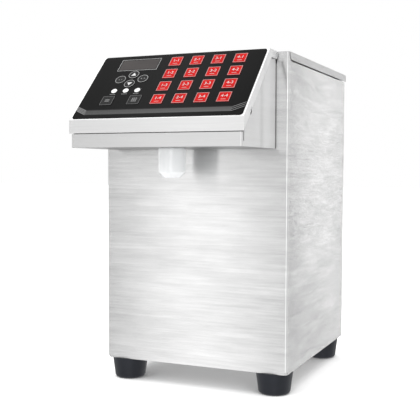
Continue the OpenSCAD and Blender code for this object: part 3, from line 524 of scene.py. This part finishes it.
class Print:
    """Thin solids laid on the panel's slope at one height, which become one piece.

    An ink number counts into the inks that the finished piece gets.
    """

    def __init__(self, surface):
        self.mesh = bmesh.new()
        self.low = surface + PRINT_LIFT
        self.high = self.low + PRINT_T

    def row(self, outline, height):
        return [self.mesh.verts.new((x, y, height)) for x, y in outline]

    def faces_between(self, first, second, ink_number):
        for i in range(len(first)):
            j = (i + 1) % len(first)
            face = self.mesh.faces.new((first[i], first[j], second[j], second[i]))
            face.material_index = ink_number

    def plate(self, outline, ink_number=0):
        bottom, top = self.row(outline, self.low), self.row(outline, self.high)
        for cap in (top, bottom[::-1]):
            self.mesh.faces.new(cap).material_index = ink_number
        self.faces_between(bottom, top, ink_number)

    def ring(self, outer, inner, ink_number=0):
        """A plate with a hole. Both outlines have the same number of points."""
        rows = [self.row(outer, self.low), self.row(outer, self.high),
                self.row(inner, self.high), self.row(inner, self.low)]
        for k, first in enumerate(rows):
            self.faces_between(first, rows[(k + 1) % len(rows)], ink_number)

    def text(self, words, size, center):
        """Plain lettering in the default typeface, centred."""
        curve = bpy.data.curves.new("lettering", "FONT")
        curve.body = words
        curve.size = size
        curve.align_x = "CENTER"
        curve.align_y = "CENTER"
        curve.extrude = (self.high - self.low) / 2
        curve.resolution_u = LETTER_STEPS
        holder = bpy.data.objects.new("lettering", curve)
        bpy.context.scene.collection.objects.link(holder)
        mesh = bpy.data.meshes.new_from_object(
            holder.evaluated_get(bpy.context.evaluated_depsgraph_get()))
        mesh.transform(Matrix.Translation((*center, (self.low + self.high) / 2)))
        self.mesh.from_mesh(mesh)
        bpy.data.objects.remove(holder)
        bpy.data.curves.remove(curve)
        bpy.data.meshes.remove(mesh)

    def finish(self, name, inks, body):
        bmesh.ops.remove_doubles(self.mesh, verts=self.mesh.verts, dist=WELD)
        bmesh.ops.recalc_face_normals(self.mesh, faces=self.mesh.faces)
        mesh = bpy.data.meshes.new(name)
        self.mesh.to_mesh(mesh)
        self.mesh.free()
        mesh.transform(SLOPE)
        for one in inks:
            mesh.materials.append(one)
        piece = bpy.data.objects.new(name, mesh)
        bpy.context.scene.collection.objects.link(piece)
        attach(piece, body)


def key_print(node, draw, inks):
    """Draws on the top of one key, about its middle, and rides with it."""
    low, high = slope_box(node)
    sheet = Print(high.z)
    draw(sheet, middle_of(low, high))
    sheet.finish(node + "_print", inks, node)


# ---------------------------------------------------------------- printing on the keys

PORTIONS = 4                 # rows and columns of portion keys
KEY_W, KEY_H, KEY_R, KEY_INNER_R = 16.5 * MM, 17.5 * MM, 0.6 * MM, 0.3 * MM
LINE = 0.7 * MM              # width of a key's outline
LABEL_SIZE, LABEL_UP = 7.0 * MM, 1.6 * MM
BAR_W, BAR_H, BAR_R, BAR_DOWN = 6.5 * MM, 1.0 * MM, 0.3 * MM, 4.6 * MM

ROUND_R = 7.3 * MM
ARROW_H, ARROW_HALF_W = 3.4 * MM, 3.6 * MM
ARROW_FOOT, ARROW_TIP = -0.7, 1.1            # in arrow heights from the key's middle

SQUARE, SQUARE_R, SQUARE_INNER_R = 17 * MM, 1.2 * MM, 0.7 * MM
SQUARE_LINE = 0.6 * MM
CELL_W, CELL_H, CELL_R, CELL_PITCH = 2.0 * MM, 1.8 * MM, 0.2 * MM, 2.6 * MM
DASH_W, DASH_H, DASH_R, DASH_UP = 6.5 * MM, 1.4 * MM, 0.4 * MM, 1.3 * MM


def portion(label):
    """An outline, the portion's number and a bar under it."""
    def draw(sheet, center):
        sheet.ring(rounded(KEY_W, KEY_H, KEY_R, center),
                   rounded(KEY_W - 2 * LINE, KEY_H - 2 * LINE, KEY_INNER_R, center), 1)
        sheet.text(label, LABEL_SIZE, moved(center, y=LABEL_UP))
        sheet.plate(rounded(BAR_W, BAR_H, BAR_R, moved(center, y=-BAR_DOWN)), 1)
    return draw


def ringed(symbol):
    def draw(sheet, center):
        sheet.ring(circle(ROUND_R, center), circle(ROUND_R - LINE, center))
        symbol(sheet, center)
    return draw


def arrow(way):
    """A triangle that points up the slope for 1, and down it for -1."""
    def symbol(sheet, center):
        foot, tip = (way * ARROW_H * share for share in (ARROW_FOOT, ARROW_TIP))
        points = [moved(center, -ARROW_HALF_W, foot), moved(center, ARROW_HALF_W, foot),
                  moved(center, 0, tip)]
        sheet.plate(points[::way], 1)
    return symbol


def sign(words, size):
    def symbol(sheet, center):
        sheet.text(words, size, center)
    return symbol


def squared(symbol):
    inner = SQUARE - 2 * SQUARE_LINE

    def draw(sheet, center):
        sheet.ring(rounded(SQUARE, SQUARE, SQUARE_R, center),
                   rounded(inner, inner, SQUARE_INNER_R, center), 1)
        symbol(sheet, center)
    return draw


def grid(sheet, center):
    for i in (-1, 0, 1):
        for j in (-1, 0, 1):
            cell = moved(center, i * CELL_PITCH, j * CELL_PITCH)
            sheet.plate(rounded(CELL_W, CELL_H, CELL_R, cell))


def dashes(sheet, center):
    for side in (-1, 1):
        sheet.plate(rounded(DASH_W, DASH_H, DASH_R, moved(center, y=side * DASH_UP)))


for column in range(1, PORTIONS + 1):
    for row in range(1, PORTIONS + 1):
        key_print(f"key_{column}_{row}", portion(f"{column}-{row}"), (INK_WHITE, INK_PINK))
for node, symbol in (("key_up", arrow(1)), ("key_down", arrow(-1)),
                     ("key_back", sign("- -", 6 * MM)), ("key_next", sign("+ +", 5 * MM))):
    key_print(node, ringed(symbol), (INK_PALE, INK_WHITE))
for node, symbol in (("key_clean", dashes), ("key_menu", grid)):
    key_print(node, squared(symbol), (INK_GREY, INK_DIM))

# ---------------------------------------------------------------- printing on the membrane

DISPLAY_INSETS = (0.2 * MM, 1.6 * MM, 4.2 * MM)      # both sides together
DISPLAY_R = 0.4 * MM
LENS_PITCH = 17 * MM
CAPTION_DOWN = 2.4 * MM      # below the lenses
CAPTION_MARKS = 4
MARK_W, MARK_H, MARK_R, MARK_PITCH = 1.6 * MM, 1.3 * MM, 0.2 * MM, 2.1 * MM
BAND_HALF = 101 * MM         # half the length of the band's level part
BAND_END = 116.5 * MM        # from the middle to where its lines end
BAND_RISE = 8 * MM
BAND_EDGE = 1.3 * MM         # black line above and below the band
BAND_LINES = ((-1, 4, 1.3 * MM), (1, 3, 0.9 * MM))   # side, number of lines, their width


def display_frame():
    """A pale line round the display, and a black margin inside it."""
    low, high = slope_box("display_window")
    center = middle_of(low, high)
    width, height = high.x - low.x, high.y - low.y
    sheet = Print(high.z)
    outer, line, margin = (rounded(width - inset, height - inset, DISPLAY_R, center)
                           for inset in DISPLAY_INSETS)
    sheet.ring(outer, line, 0)
    sheet.ring(line, margin, 1)
    sheet.finish("display_frame", (INK_PALE, INK_BLACK), "control_panel")


def captions(surface):
    """A row of small marks under each indicator lens."""
    low, high = slope_box("indicators")
    middle = (low.x + high.x) / 2
    sheet = Print(surface)
    for i in (-1, 0, 1):
        for k in range(CAPTION_MARKS):
            x = middle + i * LENS_PITCH + (k - (CAPTION_MARKS - 1) / 2) * MARK_PITCH
            sheet.plate(rounded(MARK_W, MARK_H, MARK_R, (x, low.y - CAPTION_DOWN)))
    sheet.finish("membrane_print", (INK_GREY,), "control_panel")


def band(surface):
    """The band along the lower edge, splitting into thin lines that rise at both ends."""
    sheet = Print(surface)

    def level_strip(low, high, ink_number):
        sheet.plate([(-BAND_HALF, low), (BAND_HALF, low), (BAND_HALF, high), (-BAND_HALF, high)],
                    ink_number)

    level_strip(BAND_LOW, BAND_HIGH, 0)
    level_strip(BAND_LOW - BAND_EDGE, BAND_LOW, 2)
    level_strip(BAND_HIGH, BAND_HIGH + BAND_EDGE, 2)
    for side, count, line in BAND_LINES:
        for k in range(count):
            y = BAND_LOW + (BAND_HIGH - BAND_LOW - line) * k / (count - 1)
            points = [(side * BAND_HALF, y), (side * BAND_END, y + BAND_RISE),
                      (side * BAND_END, y + BAND_RISE + line), (side * BAND_HALF, y + line)]
            sheet.plate(points[::side], 1)
    sheet.finish("membrane_band", (INK_BAND, INK_GREY, INK_BLACK), "control_panel")


membrane_top = slope_box("membrane")[1].z
display_frame()
captions(membrane_top)
band(membrane_top)

# ---------------------------------------------------------------- floor and light

FLOOR_HALF = 12.0
SHADOW_REACH = 0.16          # how far out the floor darkens round the object
SHADOW_FULL, SHADOW_FROM = 0.25, 0.9         # openness at which its glow is out, and whole
FLOOR_GLOW = 0.95

DIFFUSE_LEVEL = 0.8
BACKDROP_LEVEL = 1.0
# How bright the studio looks in the steel, by direction in degrees: 0 is the rear, 90 the right.
STUDIO = ((-180, 1.0), (-163, 0.95), (-160, 1.1), (-158, 1.4), (-156, 1.7), (-154, 1.85),
          (-152, 1.5), (-150, 0.8), (-149, 0.65), (-146, 0.8), (-140, 1.0), (-130, 1.0), (8, 1.0),
          (12, 0.5), (13.4, 0.3), (14.4, 0.8), (15.1, 3.4), (15.8, 5.0), (16.4, 2.4), (17.1, 0.1),
          (18, 0.0), (19.2, 0.1), (21, 1.0), (25, 1.35), (35, 1.4), (50, 1.1), (70, 1.0),
          (150, 1.0), (156, 2.3), (170, 2.3), (176, 1.0), (180, 1.0))

# Name, place, height of the target on the object's axis, side, watts, shown in the steel.
LAMPS = (("key_lamp", (-1.3, -2.2, 1.7), 0.2, 1.4, 18, False),
         ("fill_lamp", (2.4, -1.4, 1.3), 0.2, 1.4, 8, False),
         ("ceiling", (-1.1, 0.1, 2.6), 0.4, 1.7, 12, True))


def make_floor():
    half = FLOOR_HALF
    mesh = bpy.data.meshes.new("floor")
    mesh.from_pydata([(-half, -half, 0), (half, -half, 0), (half, half, 0), (-half, half, 0)],
                     [], [(0, 1, 2, 3)])
    floor = bpy.data.objects.new("floor", mesh)
    bpy.context.scene.collection.objects.link(floor)
    s = Material("floor_white")
    # The glow shows to the camera only, so it lights nothing. It fades under the object, so
    # that the object's shadow stays.
    seen = s.math("MULTIPLY", s.add("ShaderNodeLightPath").outputs["Is Camera Ray"], FLOOR_GLOW)
    fade = s.remap(s.openness(SHADOW_REACH, 16), 0.0, 1.0, SHADOW_FULL, SHADOW_FROM)
    s.set(Base_Color=rgba(grey(0.85)), Roughness=0.9, Specular_IOR_Level=0.0,
          Emission_Color=(1, 1, 1, 1), Emission_Strength=s.math("MULTIPLY", seen, fade))
    mesh.materials.append(s.material)
    # The steel mirrors the studio below the floor line as above it.
    floor.visible_glossy = False
    floor.visible_shadow = False


def studio_level(sky, angle):
    """Brightness by direction, in straight lines between the stops of STUDIO."""
    low, high = STUDIO[0][0], STUDIO[-1][0]
    peak = max(level for _, level in STUDIO)
    stops = [((degrees - low) / (high - low), grey(level / peak)) for degrees, level in STUDIO]
    share = sky.math("DIVIDE", sky.math("SUBTRACT", angle, math.radians(low)),
                     math.radians(high - low))
    return sky.math("MULTIPLY", sky.ramp(share, *stops), peak)


def make_world():
    """White to the camera, plain to soft light, and banded in a mirror image."""
    world = bpy.data.worlds.new("studio")
    bpy.context.scene.world = world
    world.use_nodes = True
    sky = Nodes(world.node_tree)
    x, y, _ = sky.split(sky.add("ShaderNodeTexCoord").outputs["Generated"])
    ray = sky.add("ShaderNodeLightPath").outputs
    level = studio_level(sky, sky.math("ARCTAN2", x, y))
    mirrored = sky.math("MULTIPLY", level, ray["Is Glossy Ray"])
    clear = sky.math("MAXIMUM", ray["Is Camera Ray"], ray["Is Transmission Ray"])
    seen = sky.math("MAXIMUM", sky.math("MULTIPLY", clear, BACKDROP_LEVEL), mirrored)
    other = sky.math("SUBTRACT", 1.0, sky.math("MAXIMUM", clear, ray["Is Glossy Ray"]))
    background = sky.tree.nodes["Background"]
    background.inputs["Color"].default_value = (1, 1, 1, 1)
    sky.feed(background.inputs["Strength"],
             sky.math("ADD", seen, sky.math("MULTIPLY", other, DIFFUSE_LEVEL)))


def make_lamp(name, place, target_height, side, power, mirrored):
    """A soft square lamp. A mirrored one shows in the steel, and the others only light it."""
    data = bpy.data.lights.new(name, "AREA")
    data.shape = "RECTANGLE"
    data.size = data.size_y = side
    data.energy = power
    lamp = bpy.data.objects.new(name, data)
    bpy.context.scene.collection.objects.link(lamp)
    lamp.location = place
    aim = Vector((0, 0, target_height)) - Vector(place)
    lamp.rotation_euler = aim.to_track_quat("-Z", "Y").to_euler()
    lamp.visible_glossy = mirrored


make_floor()
make_world()
for lamp_row in LAMPS:
    make_lamp(*lamp_row)

bpy.context.scene.view_settings.view_transform = "Standard"
